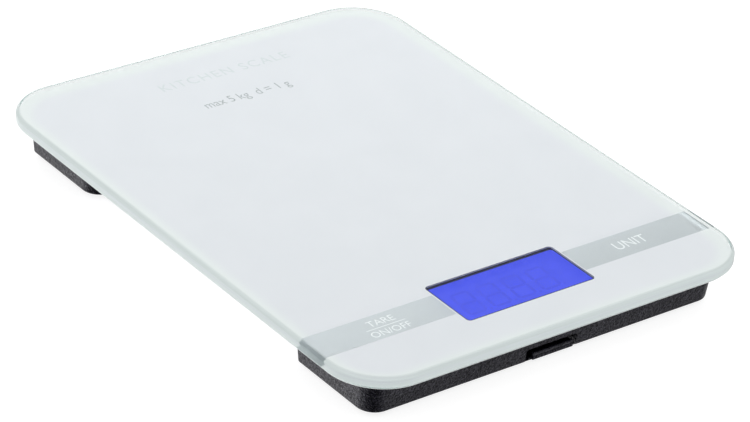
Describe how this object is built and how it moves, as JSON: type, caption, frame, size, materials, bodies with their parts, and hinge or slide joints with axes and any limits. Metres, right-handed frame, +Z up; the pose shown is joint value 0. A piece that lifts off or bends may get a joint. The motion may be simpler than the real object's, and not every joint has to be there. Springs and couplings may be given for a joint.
{
  "type": "kitchen scale",
  "caption": "Slim glass-platform electronic kitchen scale: white-backed plate on two dark housings with load-cell feet, lit display and hinged battery door.",
  "frame": {"origin": "centre of the glass plate's outline, on the table the feet stand on", "axes": "+X to the right seen from the display end, +Y from the display to the rear, +Z up"},
  "size_m": [0.15, 0.1986, 0.018],
  "materials": {
    "clear_glass": "tempered soda-lime glass with a polished edge",
    "white_film": "white back print with a silver band",
    "black_plastic": "charcoal plastic with a fine spark texture",
    "chassis_plastic": "black plastic",
    "channel_plastic": "white plastic",
    "foam_tape": "double-sided foam tape",
    "display_glass": "blue backlit LCD",
    "light_guide": "milky acrylic",
    "circuit_board": "green solder mask on glass-epoxy laminate",
    "chip_plastic": "black moulding compound",
    "elastomer": "striped conductive rubber",
    "plated_steel": "nickel-plated steel",
    "stainless_steel": "stainless steel",
    "screw_steel": "black zinc",
    "gauge_film": "polyimide gauge film",
    "lead_insulation": "PVC wire insulation",
    "foot_plastic": "dark grey plastic",
    "rubber": "anti-slip rubber"
  },
  "bodies": {
    "platform": {"backlight_guide": "light_guide", "backlight_led": "light_guide", "battery_contact_negative": "plated_steel", "battery_contact_positive": "plated_steel", "cable_channel": "channel_plastic", "capacitor": "plated_steel", "cell_amplifier": "chip_plastic", "cell_lead_front_left": "lead_insulation", "cell_lead_front_right": "lead_insulation", "cell_lead_rear_left": "lead_insulation", "cell_lead_rear_right": "lead_insulation", "circuit_board": "circuit_board", "coin_cell": "stainless_steel", "crystal": "plated_steel", "elastomer_connector": "elastomer", "front_chassis": "chassis_plastic", "front_housing": "black_plastic", "front_screw_1": "screw_steel", "front_screw_2": "screw_steel", "front_screw_3": "screw_steel", "front_screw_4": "screw_steel", "front_tape": "foam_tape", "glass_platform": "clear_glass", "lcd_panel": "display_glass", "load_cell_front_left": "plated_steel", "load_cell_front_right": "plated_steel", "load_cell_rear_left": "plated_steel", "load_cell_rear_right": "plated_steel", "microcontroller": "chip_plastic", "printed_film": "white_film", "rear_chassis": "chassis_plastic", "rear_housing": "black_plastic", "rear_screw_1": "screw_steel", "rear_screw_2": "screw_steel", "rear_screw_3": "screw_steel", "rear_screw_4": "screw_steel", "rear_tape": "foam_tape", "strain_gauge_front_left": "gauge_film", "strain_gauge_front_right": "gauge_film", "strain_gauge_rear_left": "gauge_film", "strain_gauge_rear_right": "gauge_film", "touch_spring_left": "stainless_steel", "touch_spring_right": "stainless_steel"},
    "battery_door": {"battery_door": "black_plastic"},
    "foot_front_left": {"foot_front_left": "foot_plastic", "foot_pad_front_left": "rubber"},
    "foot_front_right": {"foot_front_right": "foot_plastic", "foot_pad_front_right": "rubber"},
    "foot_rear_left": {"foot_rear_left": "foot_plastic", "foot_pad_rear_left": "rubber"},
    "foot_rear_right": {"foot_rear_right": "foot_plastic", "foot_pad_rear_right": "rubber"}
  },
  "joints": [
    {"name": "battery_door_hinge", "type": "hinge", "parent": "platform", "child": "battery_door", "pos_m": [0.0014, -0.062, 0.0015], "axis": [1, 0, 0], "range_deg": [0, 90]},
    {"name": "foot_front_left_travel", "type": "slide", "parent": "platform", "child": "foot_front_left", "axis": [0, 0, 1], "range_m": [0, 0.0003], "stiffness_N_per_m": 20000},
    {"name": "foot_front_right_travel", "type": "slide", "parent": "platform", "child": "foot_front_right", "axis": [0, 0, 1], "range_m": [0, 0.0003], "stiffness_N_per_m": 20000},
    {"name": "foot_rear_left_travel", "type": "slide", "parent": "platform", "child": "foot_rear_left", "axis": [0, 0, 1], "range_m": [0, 0.0003], "stiffness_N_per_m": 20000},
    {"name": "foot_rear_right_travel", "type": "slide", "parent": "platform", "child": "foot_rear_right", "axis": [0, 0, 1], "range_m": [0, 0.0003], "stiffness_N_per_m": 20000}
  ]
}
